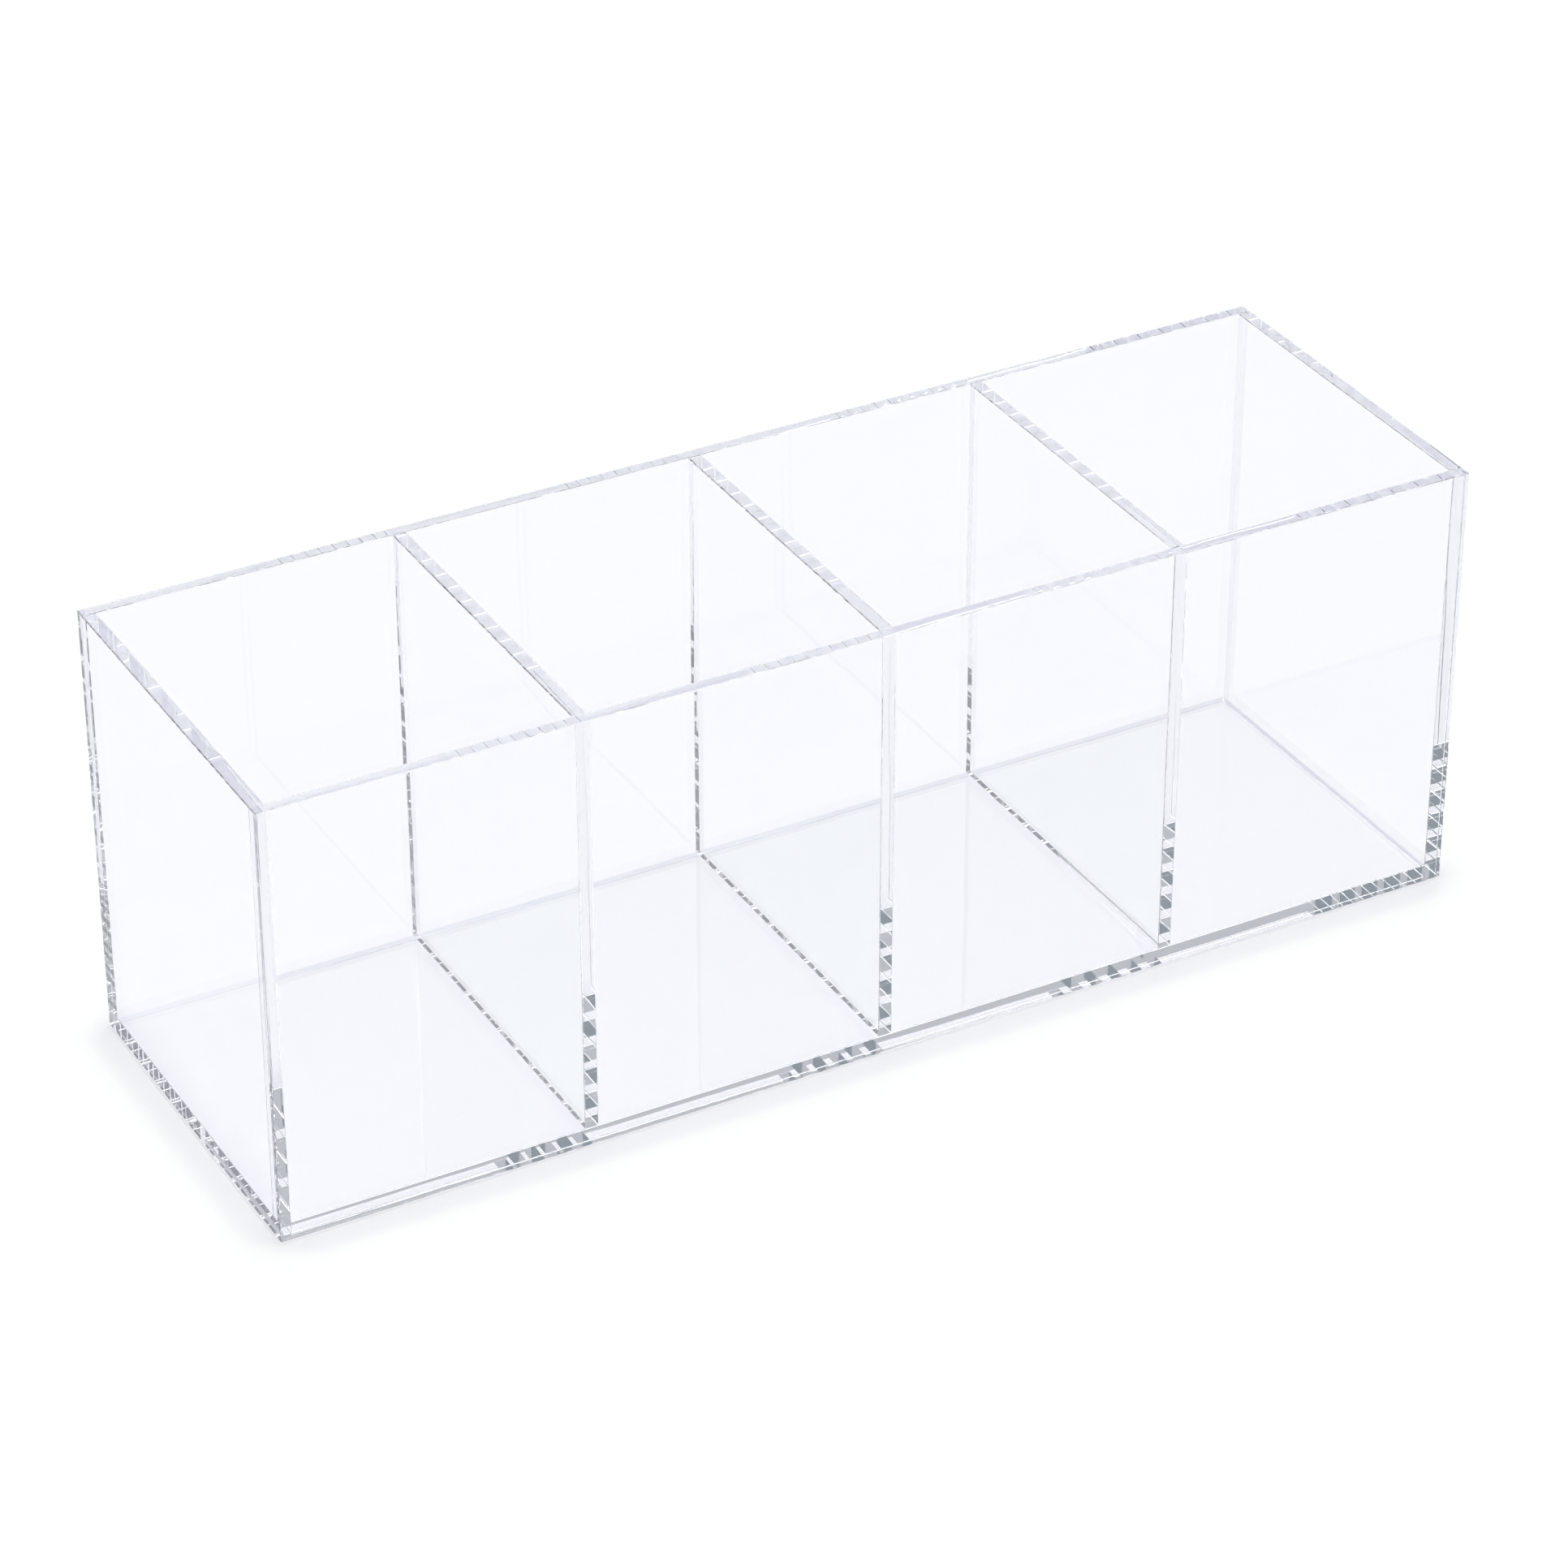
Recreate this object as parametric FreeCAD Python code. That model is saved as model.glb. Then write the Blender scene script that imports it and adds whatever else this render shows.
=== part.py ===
import FreeCAD, Part
import os

# Clear acrylic organizer box, open at the top, with equal compartments in one row.
# Lengths are in millimetres. X runs along the box, Y from its front to its back, Z up.
# The origin is the middle of the underside.

# Driving dimensions of the whole box
box_length = 270.0
box_depth = 85.0
box_height = 98.0

# Thickness of the acrylic sheet that each kind of panel is cut from
wall_sheet = 3.0
end_sheet = 3.0
base_sheet = 3.0
divider_sheet = 3.0

# Width of the polished bevel on every edge that a hand can reach
edge_break = 0.3

# Dividers from the left end to the right end
divider_names = ("left_divider", "middle_divider", "right_divider")
compartments = len(divider_names) + 1

# Decimals to which two places count as the same
place_decimals = 6

# Places that several panels share
half_length = box_length / 2
half_depth = box_depth / 2
inside_half_length = half_length - end_sheet
inside_half_depth = half_depth - wall_sheet
dividers_width = divider_sheet * len(divider_names)
compartment_width = (2 * inside_half_length - dividers_width) / compartments
divider_pitch = compartment_width + divider_sheet


def sheet(x_places, y_places, z_places):
    """A flat sheet between two places along each axis."""
    low = FreeCAD.Vector(min(x_places), min(y_places), min(z_places))
    high = FreeCAD.Vector(max(x_places), max(y_places), max(z_places))
    span = high - low
    return Part.makeBox(span.x, span.y, span.z, low)


def same_place(first, second):
    """True where two places on one axis are the same."""
    return round(first - second, place_decimals) == 0


def edge_lies_at(edge, corner):
    """True where both ends of an edge share the given places, as {"x": place, "z": place}."""
    return all(
        same_place(getattr(vertex.Point, axis), place)
        for vertex in edge.Vertexes
        for axis, place in corner.items()
    )


def with_broken_edges(panel, corners):
    """The panel with a narrow bevel along each edge that lies at one of the corners."""
    edges = [edge for edge in panel.Edges if any(edge_lies_at(edge, corner) for corner in corners)]
    return panel.makeChamfer(edge_break, edges)


def long_panel(side):
    """Front sheet for side -1, back sheet for side 1. It covers the ends of the other sheets."""
    outer = side * half_depth
    inner = side * inside_half_depth
    panel = sheet((-half_length, half_length), (outer, inner), (0, box_height))
    corners = [
        {"y": outer, "z": box_height},
        {"y": inner, "z": box_height},
        {"y": outer, "z": 0},
    ]
    for end in (-half_length, half_length):
        corners.append({"x": end, "y": outer})
        corners.append({"x": end, "z": box_height})
        corners.append({"x": end, "z": 0})
    return with_broken_edges(panel, corners)


def end_panel(side):
    """Left end sheet for side -1, right end sheet for side 1, between the long sheets."""
    outer = side * half_length
    inner = side * inside_half_length
    panel = sheet((outer, inner), (-inside_half_depth, inside_half_depth), (0, box_height))
    corners = [
        {"x": outer, "z": box_height},
        {"x": inner, "z": box_height},
        {"x": outer, "z": 0},
    ]
    return with_broken_edges(panel, corners)


def base_panel():
    """Floor sheet, held inside the four walls and flush with their lower edges."""
    return sheet(
        (-inside_half_length, inside_half_length),
        (-inside_half_depth, inside_half_depth),
        (0, base_sheet),
    )


def divider(index):
    """One divider, counted from the left. It stands on the base between the long sheets."""
    left_face = -inside_half_length + compartment_width + index * divider_pitch
    right_face = left_face + divider_sheet
    panel = sheet(
        (left_face, right_face),
        (-inside_half_depth, inside_half_depth),
        (base_sheet, box_height),
    )
    corners = [
        {"x": left_face, "z": box_height},
        {"x": right_face, "z": box_height},
    ]
    return with_broken_edges(panel, corners)


def all_panels():
    """Every panel of the box by its name."""
    panels = {
        "front_panel": long_panel(-1),
        "back_panel": long_panel(1),
        "left_end_panel": end_panel(-1),
        "right_end_panel": end_panel(1),
        "base_panel": base_panel(),
    }
    for index, name in enumerate(divider_names):
        panels[name] = divider(index)
    return panels


os.makedirs("parts", exist_ok=True)
for panel_name, panel_shape in all_panels().items():
    panel_shape.exportStep("parts/" + panel_name + ".step")
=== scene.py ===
import math

import bmesh
import bpy
from mathutils import Matrix, Vector


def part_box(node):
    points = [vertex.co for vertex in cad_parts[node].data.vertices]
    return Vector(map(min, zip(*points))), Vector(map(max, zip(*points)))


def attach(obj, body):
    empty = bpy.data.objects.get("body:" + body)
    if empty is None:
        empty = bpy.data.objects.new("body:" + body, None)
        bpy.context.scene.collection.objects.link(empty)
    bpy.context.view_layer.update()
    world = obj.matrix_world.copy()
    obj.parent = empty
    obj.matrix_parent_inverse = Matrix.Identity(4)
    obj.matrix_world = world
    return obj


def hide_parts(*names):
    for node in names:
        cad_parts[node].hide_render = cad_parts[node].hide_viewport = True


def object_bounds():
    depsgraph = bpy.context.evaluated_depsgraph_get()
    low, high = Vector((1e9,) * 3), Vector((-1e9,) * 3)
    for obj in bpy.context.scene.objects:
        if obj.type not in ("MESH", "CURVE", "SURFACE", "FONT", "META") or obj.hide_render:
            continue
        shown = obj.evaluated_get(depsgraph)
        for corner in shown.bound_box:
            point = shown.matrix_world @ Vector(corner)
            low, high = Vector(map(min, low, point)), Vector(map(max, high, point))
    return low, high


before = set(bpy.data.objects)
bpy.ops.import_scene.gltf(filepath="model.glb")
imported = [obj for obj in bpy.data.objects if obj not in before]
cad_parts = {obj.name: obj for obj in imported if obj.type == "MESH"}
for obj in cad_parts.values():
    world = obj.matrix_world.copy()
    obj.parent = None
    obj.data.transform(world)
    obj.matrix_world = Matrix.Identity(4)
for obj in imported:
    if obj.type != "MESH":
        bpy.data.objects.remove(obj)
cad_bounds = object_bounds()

bl_info = {
    "name": "Acrylic Organizer Box",
    "version": (1, 0, 0),
    "blender": (4, 5, 0),
    "location": "3D View > Sidebar > Organizer",
    "description": "Models the clear sheets of a compartment organizer box and its photo studio",
    "category": "Object",
}

# Panels of the box, by the part that each kind plays
LONG_PANELS = ("front_panel", "back_panel")
END_PANELS = ("left_end_panel", "right_end_panel")
DIVIDERS = ("left_divider", "middle_divider", "right_divider")
BASE_PANEL = "base_panel"

# Axes as places in a vector
X, Y, Z = 0, 1, 2

# Two places closer than this, in metres, are the same place
SAME_PLACE = 1e-5

# Points closer than this, in metres, are merged
MERGE_DISTANCE = 1e-6

# A face looks along an axis when this much of its normal does
SQUARE_ON = 0.999

# Material slots of every sheet, in order
FACE_SLOT, EDGE_SLOT, BUTT_SLOT, JOINT_SLOT = range(4)

# White table of the studio
TABLE_SIZE = 12.0
TABLE_ROUGHNESS = 0.3
TABLE_SPECULAR = 0.25

# The table lies this far below the box, so that the two don't share one plane
TABLE_GAP = 0.0002

# Share of open sky at which the painted shade near the walls starts, and at which it is darkest
OPEN_TABLE = 0.96
CLOSED_TABLE = 0.7

# Rays that find out how open the table is at one place, which sets its painted shade
OPENNESS_RAYS = 8

# Direction towards which openness is measured for the painted shade: behind on the right, as if the
# soft light came mostly from there
PAINTED_SHADE_NORMAL = Vector((0.65, 0.65, 0.4))

# Heights between which each part of the studio changes to the next, for a direction of length 1
WALL_START = (0.12, 0.22)
SOFTBOX_START = (0.60, 0.66)
CEILING_START = (0.82, 0.88)

# Half the width over which two walls of the studio blend
WALL_BLEND = 0.2

# Plain colours
BLACK = (0.0, 0.0, 0.0)
WHITE = (1.0, 1.0, 1.0)

# Layers of noise in the waves and in the haze of a surface, and how strong each finer layer is
WAVE_DETAIL = 1.0
HAZE_DETAIL = 2.0
FINER_DETAIL = 0.4

# Width of the camera's sensor in millimetres
SENSOR_WIDTH = 36.0

# What is nearer to the camera or farther from it than this, in metres, isn't seen
NEAREST_VIEW = 0.01
FARTHEST_VIEW = 50.0

# How often light may bounce inside the clear sheets, and how often off the table
CLEAR_BOUNCES = 160
TABLE_BOUNCES = 4

PANEL_BOXES = {name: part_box(name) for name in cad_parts}


class SheetSizes(bpy.types.PropertyGroup):
    """Sizes of the rounded edges, the seam grooves and the cement"""

    edge_break: bpy.props.FloatProperty(
        name="Edge Break",
        description="Width of the rounded bevel on each edge that a hand can reach",
        default=0.0003,
        min=0.0,
        unit="LENGTH",
    )
    seam_groove: bpy.props.FloatProperty(
        name="Seam Groove",
        description="Width of the fine groove that is left along each cemented joint",
        default=0.00015,
        precision=5,
        unit="LENGTH",
    )
    cement: bpy.props.FloatProperty(
        name="Cement",
        description="Thickness of the cement film in a joint",
        default=0.00001,
        precision=6,
        unit="LENGTH",
    )
    break_steps: bpy.props.IntProperty(
        name="Bevel Steps",
        description="Facets across each rounded bevel",
        default=3,
        min=1,
    )


class AcrylicLook(bpy.types.PropertyGroup):
    """Tints, refraction and surface of the clear acrylic"""

    face_colour: bpy.props.FloatVectorProperty(
        name="Sheet Colour",
        description="What one pass through a sheet leaves of white light",
        default=(0.991, 0.996, 0.9965),
        size=3,
        subtype="COLOR",
    )
    edge_colour: bpy.props.FloatVectorProperty(
        name="Edge Colour",
        description="Deeper tint of the cut and polished edges",
        default=(0.95, 0.96, 0.975),
        size=3,
        subtype="COLOR",
    )
    seam_colour: bpy.props.FloatVectorProperty(
        name="Seam Colour",
        description="Tint of a cemented seam",
        default=(0.93, 0.935, 0.945),
        size=3,
        subtype="COLOR",
    )
    refraction: bpy.props.FloatProperty(
        name="Index of Refraction",
        description="Index of refraction of acrylic",
        default=1.49,
        min=1.0,
    )
    face_wave_size: bpy.props.FloatProperty(
        name="Sheet Wave Size",
        description="Distance between the faint waves of a cast sheet",
        default=0.03,
        unit="LENGTH",
    )
    edge_wave_size: bpy.props.FloatProperty(
        name="Edge Wave Size",
        description="Distance between the ripples that polishing leaves on an edge",
        default=0.004,
        unit="LENGTH",
    )
    face_wave_height: bpy.props.FloatProperty(
        name="Sheet Wave Height",
        description="Height of the faint waves of a cast sheet",
        default=0.00006,
        precision=6,
        unit="LENGTH",
    )
    edge_wave_height: bpy.props.FloatProperty(
        name="Edge Wave Height",
        description="Height of the polishing ripples",
        default=0.000004,
        precision=6,
        unit="LENGTH",
    )
    edge_haze: bpy.props.FloatProperty(
        name="Edge Haze",
        description="Roughness of the haziest places on a polished edge",
        default=0.04,
        min=0.0,
        max=1.0,
        subtype="FACTOR",
    )
    haze_size: bpy.props.FloatProperty(
        name="Haze Size",
        description="Distance between hazy places on a polished edge",
        default=0.005,
        unit="LENGTH",
    )


class StudioSetup(bpy.types.PropertyGroup):
    """Camera, soft light and table of the studio"""

    camera_azimuth: bpy.props.FloatProperty(
        name="Camera Azimuth",
        description="How far the camera stands to the right of the front",
        default=math.radians(-28.76),
        subtype="ANGLE",
    )
    camera_elevation: bpy.props.FloatProperty(
        name="Camera Elevation",
        description="How far the camera looks down",
        default=math.radians(32.07),
        subtype="ANGLE",
    )
    camera_distance: bpy.props.FloatProperty(
        name="Camera Distance",
        description="From the camera to the point that it looks at",
        default=1.1228,
        unit="LENGTH",
    )
    focal_length: bpy.props.FloatProperty(
        name="Focal Length",
        description="Focal length of the lens in millimetres",
        default=126.35,
    )
    aim_right: bpy.props.FloatProperty(
        name="Aim Right",
        description="How far right of the box's middle the camera looks",
        default=-0.00083,
        precision=5,
        unit="LENGTH",
    )
    aim_up: bpy.props.FloatProperty(
        name="Aim Up",
        description="How far above the box's middle the camera looks",
        default=-0.00712,
        precision=5,
        unit="LENGTH",
    )
    softbox: bpy.props.FloatProperty(
        name="Softbox Brightness",
        description="Brightness of the ring of soft light that hangs high round the box",
        default=2.17,
    )
    ceiling: bpy.props.FloatProperty(
        name="Ceiling Brightness",
        description="Brightness of the studio's ceiling, straight above the box",
        default=0.55,
    )
    left_wall: bpy.props.FloatVectorProperty(
        name="Far Left Wall",
        description="Colour of the studio behind the box on the left, seen inside the sheets",
        default=(0.29, 0.325, 0.36),
        size=3,
        subtype="COLOR",
    )
    right_wall: bpy.props.FloatVectorProperty(
        name="Far Right Wall",
        description="Colour of the studio behind the box on the right",
        default=(0.55, 0.57, 0.6),
        size=3,
        subtype="COLOR",
    )
    near_left_wall: bpy.props.FloatVectorProperty(
        name="Near Left Wall",
        description="Colour of the studio on the camera's side, where the camera stands",
        default=(0.06, 0.065, 0.07),
        size=3,
        subtype="COLOR",
    )
    near_right_wall: bpy.props.FloatVectorProperty(
        name="Near Right Wall",
        description="Colour of the studio on the camera's side, to the right",
        default=(0.22, 0.23, 0.25),
        size=3,
        subtype="COLOR",
    )
    floor_colour: bpy.props.FloatVectorProperty(
        name="Floor Colour",
        description="Colour of the white table",
        default=(0.915, 0.918, 0.9),
        size=3,
        subtype="COLOR",
    )
    table_glow: bpy.props.FloatProperty(
        name="Table Glow",
        description="Light that is added to the table for the camera, so that it shows as plain white",
        default=0.12,
    )
    glow_tint: bpy.props.FloatVectorProperty(
        name="Glow Tint",
        description="Tint of the table's glow where it is seen through the sheets or reflected in them",
        default=(0.63, 0.58, 1.0),
        size=3,
        subtype="COLOR",
    )
    # Painted shade: the table's colour is darkened towards this colour close under the walls
    painted_shade_colour: bpy.props.FloatVectorProperty(
        name="Painted Contact Shade Colour",
        description="Colour of the table close under the walls, where soft light hardly gets",
        default=(0.77, 0.77, 0.79),
        size=3,
        subtype="COLOR",
    )
    # How far from the walls the painted shade of the table reaches
    painted_shade_reach: bpy.props.FloatProperty(
        name="Painted Shade Reach",
        description="How far from the walls the table is still a little darker",
        default=0.011,
        unit="LENGTH",
    )


def deselect_all():
    """Leaves no object selected, so that an operator works only on the one that it makes."""
    for thing in bpy.context.selected_objects:
        thing.select_set(False)


def new_sheet(name):
    """A flat sheet that fills the CAD panel's box, with its place in its mesh."""
    low, high = PANEL_BOXES[name]
    deselect_all()
    bpy.ops.mesh.primitive_cube_add(size=1, location=(low + high) / 2, scale=high - low)
    sheet = bpy.context.object
    sheet.name = name + "_sheet"
    sheet.data.name = sheet.name
    bpy.ops.object.transform_apply(location=True, rotation=True, scale=True)
    return sheet


def start_edit(sheet):
    """Enters edit mode on one sheet and gives its mesh, with nothing selected."""
    bpy.context.view_layer.objects.active = sheet
    bpy.ops.object.mode_set(mode="EDIT")
    bpy.ops.mesh.select_mode(type="EDGE")
    bpy.ops.mesh.select_all(action="DESELECT")
    return bmesh.from_edit_mesh(sheet.data)


def end_edit():
    """Leaves edit mode, which writes the changes into the mesh."""
    bpy.ops.object.mode_set(mode="OBJECT")


def lies_at(points, corner):
    """True where all the points share the places in corner, as {axis: place}."""
    return all(
        abs(point[axis] - place) < SAME_PLACE
        for point in points
        for axis, place in corner.items()
    )


def break_edges(sheet, corners, width):
    """Rounds the edges that lie at the given corners, each to a bevel of this width."""
    mesh = start_edit(sheet)
    for edge in mesh.edges:
        points = [vertex.co for vertex in edge.verts]
        edge.select_set(any(lies_at(points, corner) for corner in corners))
    bmesh.update_edit_mesh(sheet.data)
    steps = bpy.context.scene.organizer_sizes.break_steps
    bpy.ops.mesh.bevel(offset=width, segments=steps, affect="EDGES")
    end_edit()


def touching_side(box, neighbour):
    """(axis, place) of the plane in which two panels touch, or None where they don't."""
    low, high = box
    near, far = neighbour
    for axis in (X, Y, Z):
        others = [other for other in (X, Y, Z) if other != axis]
        shared = all(
            min(high[other], far[other]) - max(low[other], near[other]) > SAME_PLACE
            for other in others
        )
        if shared and abs(high[axis] - near[axis]) < SAME_PLACE:
            return axis, high[axis]
        if shared and abs(low[axis] - far[axis]) < SAME_PLACE:
            return axis, low[axis]
    return None


def thickness_axis(name):
    """The axis along which a panel is as thin as its sheet."""
    low, high = PANEL_BOXES[name]
    return min((X, Y, Z), key=lambda axis: high[axis] - low[axis])


def bonded_areas(name):
    """Where a panel is cemented: (axis that it faces, low corner, high corner) of each flat area.

    The areas leave out the fine grooves along the end that is cemented on.
    """
    groove = bpy.context.scene.organizer_sizes.seam_groove
    areas = []
    for other in PANEL_BOXES:
        side = touching_side(PANEL_BOXES[name], PANEL_BOXES[other]) if other != name else None
        if side is None:
            continue
        axis, place = side
        low = Vector(map(max, PANEL_BOXES[name][0], PANEL_BOXES[other][0]))
        high = Vector(map(min, PANEL_BOXES[name][1], PANEL_BOXES[other][1]))
        low[axis] = high[axis] = place
        butting = other if thickness_axis(name) == axis else name
        low[thickness_axis(butting)] += groove
        high[thickness_axis(butting)] -= groove
        areas.append((axis, low, high))
    return areas


def long_edges(name, sides):
    """Both long edges of a panel's narrow sides, for break_edges. Sides are (axis, place) pairs."""
    thin = thickness_axis(name)
    low, high = PANEL_BOXES[name]
    return [{axis: place, thin: face} for axis, place in sides for face in (low[thin], high[thin])]


def outer_place(name):
    """Where the outer face of a wall lies along the wall's thickness."""
    thin = thickness_axis(name)
    low, high = PANEL_BOXES[name]
    return low[thin] if high[thin] < 0 else high[thin]


def cut_side(sheet, side, axis, place):
    """Cuts the faces of one broad side, given as {axis: place}, at a place along another axis."""
    mesh = start_edit(sheet)
    for face in mesh.faces:
        face.select_set(lies_at([vertex.co for vertex in face.verts], side))
    bmesh.update_edit_mesh(sheet.data)
    point = Vector()
    point[axis] = place
    normal = Vector()
    normal[axis] = 1.0
    bpy.ops.mesh.bisect(plane_co=point, plane_no=normal)
    end_edit()


def cut_joints(sheet, name):
    """Divides the broad sides of a sheet along the outlines of the panels cemented to them."""
    low, high = PANEL_BOXES[name]
    thin = thickness_axis(name)
    others = [axis for axis in (X, Y, Z) if axis != thin]
    for facing, near, far in bonded_areas(name):
        if facing != thin:
            continue
        for axis in others:
            for place in (near[axis], far[axis]):
                if low[axis] + SAME_PLACE < place < high[axis] - SAME_PLACE:
                    cut_side(sheet, {thin: near[thin]}, axis, place)


def is_cemented(name, point):
    """True where a point on a panel's surface is in one of its cemented areas."""
    return any(
        all(
            near[axis] - SAME_PLACE < point[axis] < far[axis] + SAME_PLACE
            for axis in (X, Y, Z)
        )
        for _, near, far in bonded_areas(name)
    )


def dress(sheet, name):
    """Gives the broad faces, the narrow edges and the cemented areas their materials."""
    for material in sheet_materials():
        sheet.data.materials.append(material)
    for face in sheet.data.polygons:
        broad = abs(face.normal[thickness_axis(name)]) > SQUARE_ON
        flat = max(abs(part) for part in face.normal) > SQUARE_ON
        if flat and is_cemented(name, face.center):
            face.material_index = JOINT_SLOT if broad else BUTT_SLOT
        elif broad:
            face.material_index = FACE_SLOT
        else:
            face.material_index = EDGE_SLOT


def open_seams(sheet):
    """Draws back each cemented end by the thickness of its cement."""
    ends = {
        tuple(round(part) for part in face.normal)
        for face in sheet.data.polygons
        if face.material_index == BUTT_SLOT
    }
    for outward in sorted(ends):
        mesh = start_edit(sheet)
        for face in mesh.faces:
            faces_outward = tuple(round(part) for part in face.normal) == outward
            face.select_set(faces_outward and face.material_index == BUTT_SLOT)
        bmesh.update_edit_mesh(sheet.data)
        shift = -bpy.context.scene.organizer_sizes.cement * Vector(outward)
        bpy.ops.transform.translate(value=shift)
        end_edit()


def merge_corners(sheet):
    """Merges the doubled points that two bevels leave where they meet in a corner."""
    start_edit(sheet)
    bpy.ops.mesh.select_all(action="SELECT")
    bpy.ops.mesh.remove_doubles(threshold=MERGE_DISTANCE)
    end_edit()


def finish_sheet(sheet, name):
    """Does what every sheet needs once its edges are broken."""
    merge_corners(sheet)
    cut_joints(sheet, name)
    dress(sheet, name)
    open_seams(sheet)
    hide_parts(name)
    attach(sheet, "root")


def calculated(tree, operation, first, second=0.0, clamp=False):
    """The output of a Math node. Each input is a plain number or another node's output."""
    node = tree.nodes.new("ShaderNodeMath")
    node.operation = operation
    node.use_clamp = clamp
    for socket, value in zip(node.inputs, (first, second)):
        if isinstance(value, bpy.types.NodeSocket):
            tree.links.new(value, socket)
        else:
            socket.default_value = value
    return node.outputs[0]


def ramp(tree, source, start, end):
    """0 at start and 1 at end, with a smooth rise between them."""
    node = tree.nodes.new("ShaderNodeMapRange")
    node.interpolation_type = "SMOOTHSTEP"
    node.inputs["From Min"].default_value = start
    node.inputs["From Max"].default_value = end
    tree.links.new(source, node.inputs["Value"])
    return node.outputs["Result"]


def blend(tree, share, first, second):
    """The first colour where the share is 0 and the second where it is 1."""
    mix = tree.nodes.new("ShaderNodeMix")
    mix.data_type = "RGBA"
    tree.links.new(share, mix.inputs[0])
    colour_inputs = [socket for socket in mix.inputs if socket.type == "RGBA"]
    for socket, colour in zip(colour_inputs, (first, second)):
        if isinstance(colour, bpy.types.NodeSocket):
            tree.links.new(colour, socket)
        else:
            socket.default_value = (*colour, 1.0)
    return next(socket for socket in mix.outputs if socket.type == "RGBA")


def separated(tree, coordinates):
    """The three parts of a texture coordinate, named by its output."""
    place = tree.nodes.new("ShaderNodeTexCoord")
    axes = tree.nodes.new("ShaderNodeSeparateXYZ")
    tree.links.new(place.outputs[coordinates], axes.inputs[0])
    return axes.outputs


def surface_group():
    """Node group for the faint unevenness of an acrylic surface: waves and a trace of haze."""
    name = "Acrylic Surface"
    if name in bpy.data.node_groups:
        return bpy.data.node_groups[name]
    tree = bpy.data.node_groups.new(name, "ShaderNodeTree")
    look = bpy.context.scene.acrylic_look
    inputs = {"Wave Size": look.face_wave_size, "Haze": 0.0, "Haze Size": look.haze_size}
    for label, value in inputs.items():
        socket = tree.interface.new_socket(label, in_out="INPUT", socket_type="NodeSocketFloat")
        socket.default_value = value
    for label in ("Height", "Roughness"):
        tree.interface.new_socket(label, in_out="OUTPUT", socket_type="NodeSocketFloat")
    given = tree.nodes.new("NodeGroupInput").outputs
    result = tree.nodes.new("NodeGroupOutput").inputs
    place = tree.nodes.new("ShaderNodeTexCoord").outputs["Object"]

    def noise(size, detail):
        texture = tree.nodes.new("ShaderNodeTexNoise")
        texture.inputs["Detail"].default_value = detail
        texture.inputs["Roughness"].default_value = FINER_DETAIL
        tree.links.new(place, texture.inputs["Vector"])
        tree.links.new(calculated(tree, "DIVIDE", 1.0, size), texture.inputs["Scale"])
        return texture.outputs["Fac"]

    haze = calculated(tree, "MULTIPLY", noise(given["Haze Size"], HAZE_DETAIL), given["Haze"])
    tree.links.new(noise(given["Wave Size"], WAVE_DETAIL), result["Height"])
    tree.links.new(haze, result["Roughness"])
    return tree


def new_material(name):
    """A material with its nodes on, its node tree and its main shader."""
    material = bpy.data.materials.new(name)
    material.use_nodes = True
    tree = material.node_tree
    return material, tree, tree.nodes["Principled BSDF"]


def acrylic_material(name, colour, wave_size, wave_height, haze=0.0):
    """Clear acrylic whose unevenness and haze come from the shared surface group."""
    look = bpy.context.scene.acrylic_look
    material, tree, shader = new_material(name)
    shader.inputs["Base Color"].default_value = (*colour, 1.0)
    shader.inputs["Metallic"].default_value = 0.0
    shader.inputs["Roughness"].default_value = 0.0
    shader.inputs["IOR"].default_value = look.refraction
    shader.inputs["Transmission Weight"].default_value = 1.0
    surface = tree.nodes.new("ShaderNodeGroup")
    surface.node_tree = surface_group()
    surface.inputs["Wave Size"].default_value = wave_size
    surface.inputs["Haze"].default_value = haze
    surface.inputs["Haze Size"].default_value = look.haze_size
    bump = tree.nodes.new("ShaderNodeBump")
    bump.inputs["Distance"].default_value = wave_height
    tree.links.new(surface.outputs["Height"], bump.inputs["Height"])
    tree.links.new(bump.outputs["Normal"], shader.inputs["Normal"])
    if haze:
        tree.links.new(surface.outputs["Roughness"], shader.inputs["Roughness"])
    return material


def clear_acrylic(name):
    """The broad faces of a cast sheet, with faint long waves."""
    look = bpy.context.scene.acrylic_look
    return acrylic_material(name, look.face_colour, look.face_wave_size, look.face_wave_height)


def polished_edge(name):
    """The cut edges of a sheet, with the ripples and the trace of haze that polishing leaves."""
    look = bpy.context.scene.acrylic_look
    return acrylic_material(
        name, look.edge_colour, look.edge_wave_size, look.edge_wave_height, look.edge_haze
    )


def cement_seam(name):
    """The film of cement on the end of a sheet, which dims a little the light that runs through."""
    material, _, shader = new_material(name)
    shader.inputs["Base Color"].default_value = (*bpy.context.scene.acrylic_look.seam_colour, 1.0)
    shader.inputs["Roughness"].default_value = 0.0
    shader.inputs["IOR"].default_value = 1.0
    shader.inputs["Transmission Weight"].default_value = 1.0
    return material


def cemented_joint(name):
    """Where two sheets are cemented the acrylic is one body, so the touching faces don't show."""
    material, _, shader = new_material(name)
    shader.inputs["Alpha"].default_value = 0.0
    return material


def sheet_materials():
    """The materials of a sheet, in the order of its slots. The first sheet makes them for all."""
    makers = {
        "clear_acrylic_face": clear_acrylic,
        "polished_acrylic_edge": polished_edge,
        "cement_seam": cement_seam,
        "cemented_joint": cemented_joint,
    }
    return [bpy.data.materials.get(name) or make(name) for name, make in makers.items()]


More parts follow.
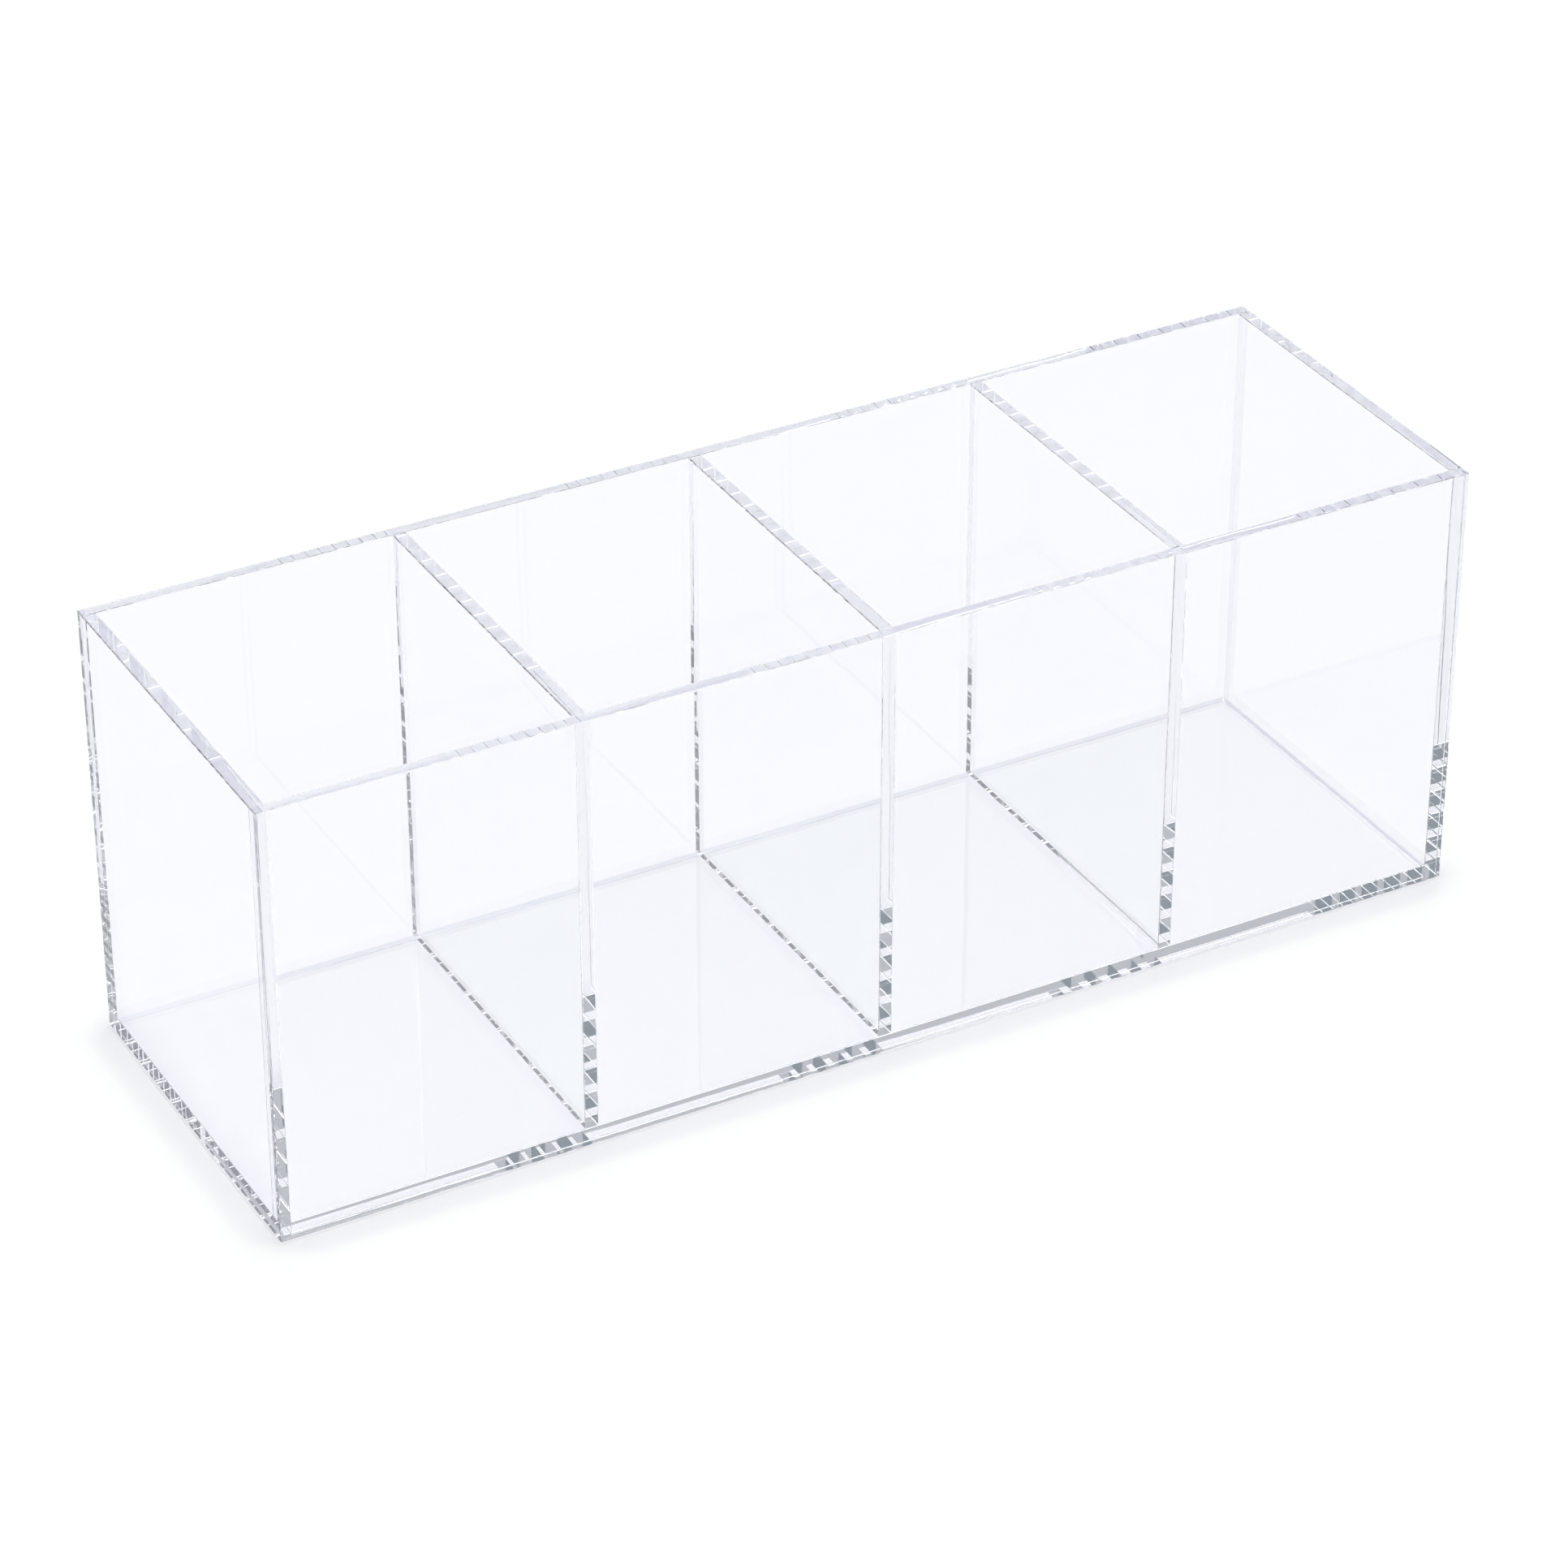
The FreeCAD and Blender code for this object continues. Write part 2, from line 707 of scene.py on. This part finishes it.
class ORGANIZER_OT_long_panels(bpy.types.Operator):
    """Model the front and back sheets, which cover the ends of the other sheets"""

    bl_idname = "organizer.long_panels"
    bl_label = "Front and Back Panels"

    def execute(self, context):
        sizes = context.scene.organizer_sizes
        for name in LONG_PANELS:
            low, high = PANEL_BOXES[name]
            outer = outer_place(name)
            sheet = new_sheet(name)
            corners = [*long_edges(name, [(Z, high[Z])]), {Y: outer, Z: low[Z]}]
            for end in (low[X], high[X]):
                corners += [{X: end, Y: outer}, {X: end, Z: high[Z]}, {X: end, Z: low[Z]}]
            break_edges(sheet, corners, sizes.edge_break)
            finish_sheet(sheet, name)
        return {"FINISHED"}


class ORGANIZER_OT_end_panels(bpy.types.Operator):
    """Model the left and right end sheets, held between the long sheets"""

    bl_idname = "organizer.end_panels"
    bl_label = "End Panels"

    def execute(self, context):
        sizes = context.scene.organizer_sizes
        for name in END_PANELS:
            low, high = PANEL_BOXES[name]
            sheet = new_sheet(name)
            corners = [*long_edges(name, [(Z, high[Z])]), {X: outer_place(name), Z: low[Z]}]
            break_edges(sheet, corners, sizes.edge_break)
            break_edges(sheet, long_edges(name, [(Y, low[Y]), (Y, high[Y])]), sizes.seam_groove)
            finish_sheet(sheet, name)
        return {"FINISHED"}


class ORGANIZER_OT_base_panel(bpy.types.Operator):
    """Model the floor sheet, held inside the four walls"""

    bl_idname = "organizer.base_panel"
    bl_label = "Base Panel"

    def execute(self, context):
        sizes = context.scene.organizer_sizes
        low, high = PANEL_BOXES[BASE_PANEL]
        sheet = new_sheet(BASE_PANEL)
        ends = [(X, low[X]), (X, high[X]), (Y, low[Y]), (Y, high[Y])]
        break_edges(sheet, long_edges(BASE_PANEL, ends), sizes.seam_groove)
        finish_sheet(sheet, BASE_PANEL)
        return {"FINISHED"}


class ORGANIZER_OT_dividers(bpy.types.Operator):
    """Model the dividers, which stand on the base between the long sheets"""

    bl_idname = "organizer.dividers"
    bl_label = "Dividers"

    def execute(self, context):
        sizes = context.scene.organizer_sizes
        for name in DIVIDERS:
            low, high = PANEL_BOXES[name]
            sheet = new_sheet(name)
            break_edges(sheet, long_edges(name, [(Z, high[Z])]), sizes.edge_break)
            ends = [(Y, low[Y]), (Y, high[Y]), (Z, low[Z])]
            break_edges(sheet, long_edges(name, ends), sizes.seam_groove)
            finish_sheet(sheet, name)
        return {"FINISHED"}


class ORGANIZER_OT_studio(bpy.types.Operator):
    """Set up the white table, the soft studio light and the camera"""

    bl_idname = "organizer.studio"
    bl_label = "Studio"

    def execute(self, context):
        setup = context.scene.studio_setup
        make_floor(setup)
        make_surroundings(setup)
        make_camera(setup)
        set_view(context.scene)
        return {"FINISHED"}


def straight_view(tree):
    """1 for what the camera sees, directly or straight through clear sheets, else 0."""
    path = tree.nodes.new("ShaderNodeLightPath")
    turned = calculated(
        tree, "ADD", path.outputs["Glossy Depth"], path.outputs["Diffuse Depth"], clamp=True
    )
    straight = calculated(
        tree, "SUBTRACT", path.outputs["Is Transmission Ray"], turned, clamp=True
    )
    return calculated(tree, "MAXIMUM", path.outputs["Is Camera Ray"], straight)


def glow_colour(tree, setup):
    """White for the camera, tinted in a reflection or through a sheet, and black for other light."""
    path = tree.nodes.new("ShaderNodeLightPath")
    reflected_or_through = calculated(
        tree, "MAXIMUM", path.outputs["Is Glossy Ray"], path.outputs["Is Transmission Ray"]
    )
    indirect = blend(tree, reflected_or_through, BLACK, setup.glow_tint)
    return blend(tree, path.outputs["Is Camera Ray"], indirect, WHITE)


def painted_shade_share(tree, setup):
    """How far the walls close off the table, which sets its painted shade: 1 close under them, 0 away
    from them and under the base.

    The painted shade is left off behind the box and to its right, as if the light came from behind on
    the right, so the table keeps its plain colour on those two sides.
    """
    low, high = cad_bounds
    base_high = PANEL_BOXES[BASE_PANEL][1]
    # Painted shade from how open the table is, measured towards behind on the right
    openness = tree.nodes.new("ShaderNodeAmbientOcclusion")
    openness.samples = OPENNESS_RAYS
    openness.inputs["Distance"].default_value = setup.painted_shade_reach
    openness.inputs["Normal"].default_value = PAINTED_SHADE_NORMAL.normalized()
    share = ramp(tree, openness.outputs["AO"], OPEN_TABLE, CLOSED_TABLE)
    rightward, backward, _ = separated(tree, "Object")
    past_base = calculated(
        tree,
        "MAXIMUM",
        calculated(tree, "GREATER_THAN", calculated(tree, "ABSOLUTE", rightward), base_high[X]),
        calculated(tree, "GREATER_THAN", calculated(tree, "ABSOLUTE", backward), base_high[Y]),
    )
    share = calculated(tree, "MULTIPLY", share, past_base)

    # Each side without painted shade: the way out from the box, where it begins, the way along it, and
    # the corner near which its painted shade is kept
    sides_without_shade = (
        (rightward, high[X], backward, low[Y]),
        (backward, base_high[Y], rightward, low[X]),
    )
    for outward, edge, along, corner in sides_without_shade:
        beyond = calculated(tree, "GREATER_THAN", outward, edge)
        beside = ramp(tree, along, corner, corner + setup.painted_shade_reach)
        shade_off = calculated(tree, "MULTIPLY", beyond, beside)
        share = calculated(tree, "MULTIPLY", share, calculated(tree, "SUBTRACT", 1.0, shade_off))
    return share


def make_floor(setup):
    """The white table on which the box stands, with painted shade close under the walls."""
    deselect_all()
    bpy.ops.mesh.primitive_plane_add(size=TABLE_SIZE, location=(0.0, 0.0, -TABLE_GAP))
    floor = bpy.context.object
    floor.name = "studio_table"
    material, tree, shader = new_material("white_table")
    # Painted shade: the table's colour darkens towards the painted shade colour close under the walls
    shaded = blend(tree, painted_shade_share(tree, setup), setup.floor_colour, setup.painted_shade_colour)
    tree.links.new(shaded, shader.inputs["Base Color"])
    shader.inputs["Roughness"].default_value = TABLE_ROUGHNESS
    shader.inputs["Specular IOR Level"].default_value = TABLE_SPECULAR
    tree.links.new(glow_colour(tree, setup), shader.inputs["Emission Color"])
    shader.inputs["Emission Strength"].default_value = setup.table_glow
    floor.data.materials.append(material)


def make_surroundings(setup):
    """The studio round the table: white low down, then four walls, a ring of soft light, a ceiling."""
    world = bpy.data.worlds.new("studio_surroundings")
    bpy.context.scene.world = world
    world.use_nodes = True
    tree = world.node_tree

    # A direction has length 1 here, so its parts are the shares that point right, back and up
    rightward, backward, upward = separated(tree, "Generated")
    left_or_right = ramp(tree, rightward, -WALL_BLEND, WALL_BLEND)
    far_walls = blend(tree, left_or_right, setup.left_wall, setup.right_wall)
    near_walls = blend(tree, left_or_right, setup.near_left_wall, setup.near_right_wall)
    walls = blend(tree, ramp(tree, backward, -WALL_BLEND, WALL_BLEND), near_walls, far_walls)
    softbox = (setup.softbox,) * 3
    ceiling = (setup.ceiling,) * 3
    above = blend(tree, ramp(tree, upward, *CEILING_START), softbox, ceiling)
    studio = blend(tree, ramp(tree, upward, *SOFTBOX_START), walls, above)
    studio = blend(tree, ramp(tree, upward, *WALL_START), WHITE, studio)
    colour = blend(tree, straight_view(tree), studio, WHITE)
    tree.links.new(colour, tree.nodes["Background"].inputs["Color"])


def make_camera(setup):
    """The camera, turned towards a point near the middle of the box and kept upright."""
    low, high = cad_bounds
    azimuth, elevation = setup.camera_azimuth, setup.camera_elevation
    back = Vector((
        math.sin(azimuth) * math.cos(elevation),
        -math.cos(azimuth) * math.cos(elevation),
        math.sin(elevation),
    ))
    right = Vector((0.0, 0.0, 1.0)).cross(back).normalized()
    up = back.cross(right)
    target = (low + high) / 2 + setup.aim_right * right + setup.aim_up * up
    data = bpy.data.cameras.new("photo_camera")
    camera = bpy.data.objects.new("photo_camera", data)
    bpy.context.scene.collection.objects.link(camera)
    turn = Matrix((right, up, back)).transposed().to_4x4()
    camera.matrix_world = Matrix.Translation(target + back * setup.camera_distance) @ turn
    data.sensor_fit = "HORIZONTAL"
    data.sensor_width = SENSOR_WIDTH
    data.lens = setup.focal_length
    data.clip_start = NEAREST_VIEW
    data.clip_end = FARTHEST_VIEW
    bpy.context.scene.camera = camera


def set_view(scene):
    """Plain colours, and enough bounces for light that runs far inside the sheets."""
    scene.view_settings.view_transform = "Standard"
    scene.cycles.max_bounces = CLEAR_BOUNCES
    scene.cycles.transmission_bounces = CLEAR_BOUNCES
    scene.cycles.glossy_bounces = CLEAR_BOUNCES
    scene.cycles.transparent_max_bounces = CLEAR_BOUNCES
    scene.cycles.diffuse_bounces = TABLE_BOUNCES
    scene.cycles.blur_glossy = 0.0


class ORGANIZER_PT_sidebar(bpy.types.Panel):
    """Sizes, looks and steps of the organizer box"""

    bl_idname = "ORGANIZER_PT_sidebar"
    bl_label = "Organizer Box"
    bl_space_type = "VIEW_3D"
    bl_region_type = "UI"
    bl_category = "Organizer"

    def draw(self, context):
        for group in (
            context.scene.organizer_sizes,
            context.scene.acrylic_look,
            context.scene.studio_setup,
        ):
            column = self.layout.column()
            for name in group.__annotations__:
                column.prop(group, name)
        for operator in OPERATORS:
            self.layout.operator(operator.bl_idname)


OPERATORS = (
    ORGANIZER_OT_long_panels,
    ORGANIZER_OT_end_panels,
    ORGANIZER_OT_base_panel,
    ORGANIZER_OT_dividers,
    ORGANIZER_OT_studio,
)
CLASSES = (SheetSizes, AcrylicLook, StudioSetup, *OPERATORS, ORGANIZER_PT_sidebar)


def register():
    for item in CLASSES:
        bpy.utils.register_class(item)
    scene_type = bpy.types.Scene
    scene_type.organizer_sizes = bpy.props.PointerProperty(type=SheetSizes)
    scene_type.acrylic_look = bpy.props.PointerProperty(type=AcrylicLook)
    scene_type.studio_setup = bpy.props.PointerProperty(type=StudioSetup)


def unregister():
    del bpy.types.Scene.studio_setup
    del bpy.types.Scene.acrylic_look
    del bpy.types.Scene.organizer_sizes
    for item in reversed(CLASSES):
        bpy.utils.unregister_class(item)


def main():
    register()
    bpy.ops.organizer.long_panels()
    bpy.ops.organizer.end_panels()
    bpy.ops.organizer.base_panel()
    bpy.ops.organizer.dividers()
    bpy.ops.organizer.studio()


if __name__ == "__main__":
    main()
